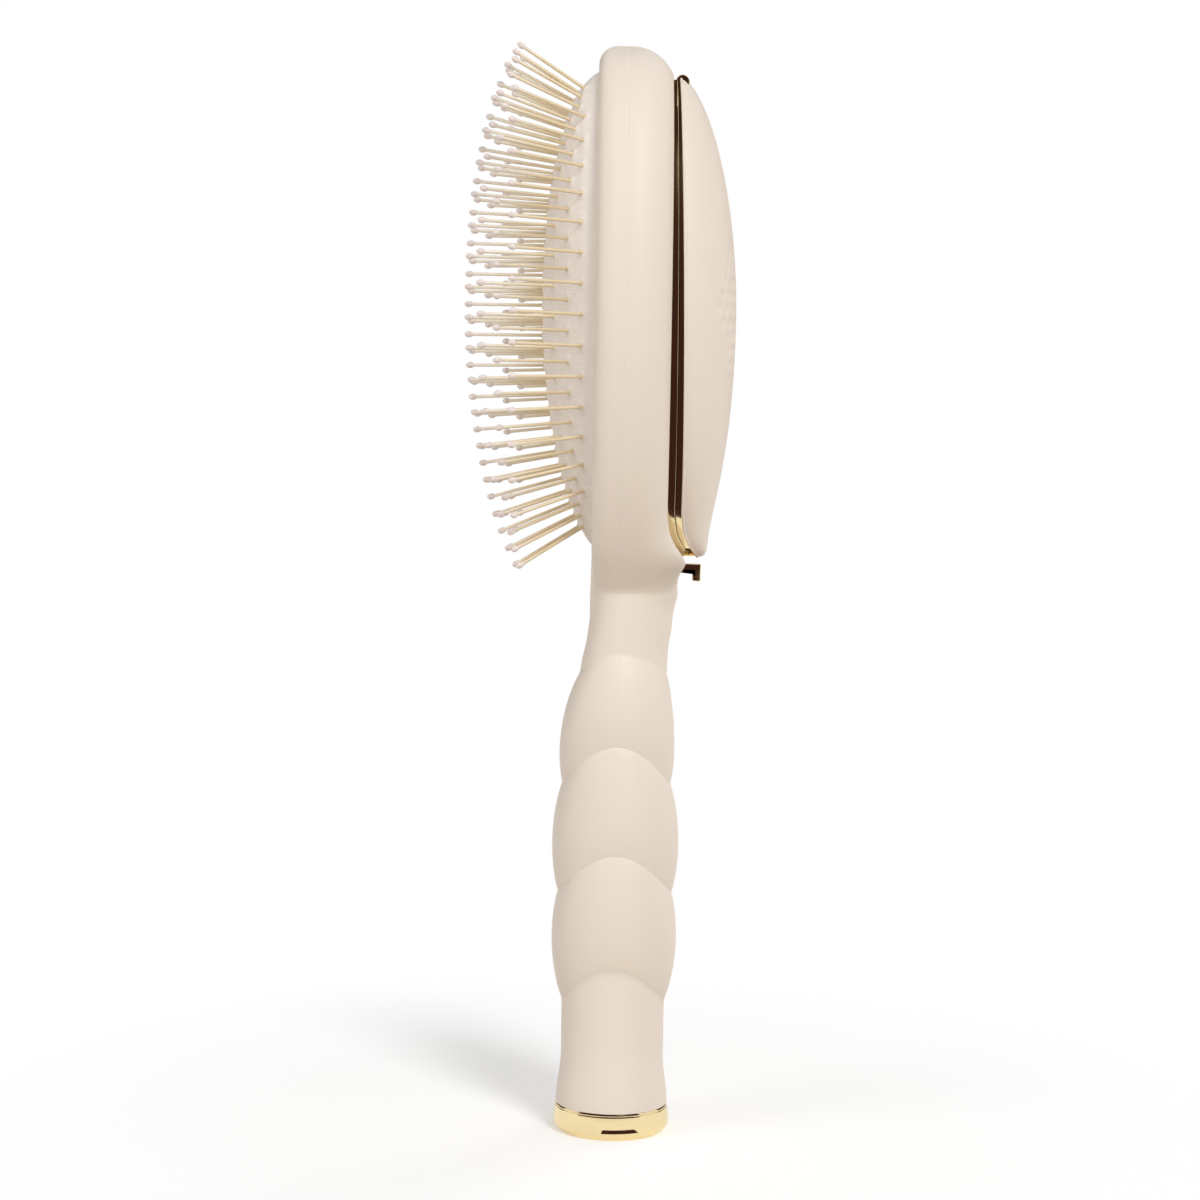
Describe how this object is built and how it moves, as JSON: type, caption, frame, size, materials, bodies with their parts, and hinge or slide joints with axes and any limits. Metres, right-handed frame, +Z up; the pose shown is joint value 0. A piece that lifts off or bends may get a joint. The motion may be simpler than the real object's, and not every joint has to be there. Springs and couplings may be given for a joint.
{
  "type": "hair brush",
  "caption": "Hand-held detangling brush: bubble-shaped handle, oval head with a pinned air cushion, and a hinged lid over a small compartment in its back.",
  "frame": {"origin": "centre of the flat foot of the end cap", "axes": "+Z up the handle to the crown of the head, -Y the bristle side, +Y the back with the lid, X across the head"},
  "size_m": [0.0594, 0.0598, 0.2398],
  "materials": {
    "shell": "soft-touch coated",
    "cushion_rubber": "matt moulded rubber",
    "pin_shaft": "satin nylon",
    "pin_ball": "dipped and glossy",
    "inner_plastic": "plain moulded",
    "gold_metal": "polished plating",
    "bright_trim": "polished",
    "steel": "plain"
  },
  "bodies": {
    "brush_body": {"front_shell": "shell", "rear_shell": "shell", "cushion": "cushion_rubber", "backing_plate": "inner_plastic", "plate_screws": "steel", "pins": "pin_shaft", "pin_tips": "pin_ball", "compartment_tray": "inner_plastic", "tray_screws": "steel", "bezel_ring": "gold_metal", "hinge_pin": "steel", "latch_guide": "inner_plastic", "guide_screws": "steel", "latch_spring": "steel", "alignment_pegs": "steel", "end_plug": "inner_plastic", "end_cap": "gold_metal", "cap_ring": "bright_trim"},
    "lid": {"lid_cover": "shell", "lid_rim": "gold_metal", "lid_liner": "inner_plastic", "liner_screws": "steel", "lid_catch": "inner_plastic", "catch_screw": "steel"},
    "latch": {"latch_hook": "gold_metal"}
  },
  "joints": [
    {"name": "lid_hinge", "type": "hinge", "parent": "brush_body", "child": "lid", "pos_m": [0, 0.01191, 0.23164], "axis": [1, 0, 0], "range_deg": [0, 100]},
    {"name": "latch_slide", "type": "slide", "parent": "brush_body", "child": "latch", "axis": [0, 0, -1], "range_m": [0, 0.0025], "stiffness_N_per_m": 200, "springref_m": -0.0025, "deforming": ["latch_spring"]}
  ]
}
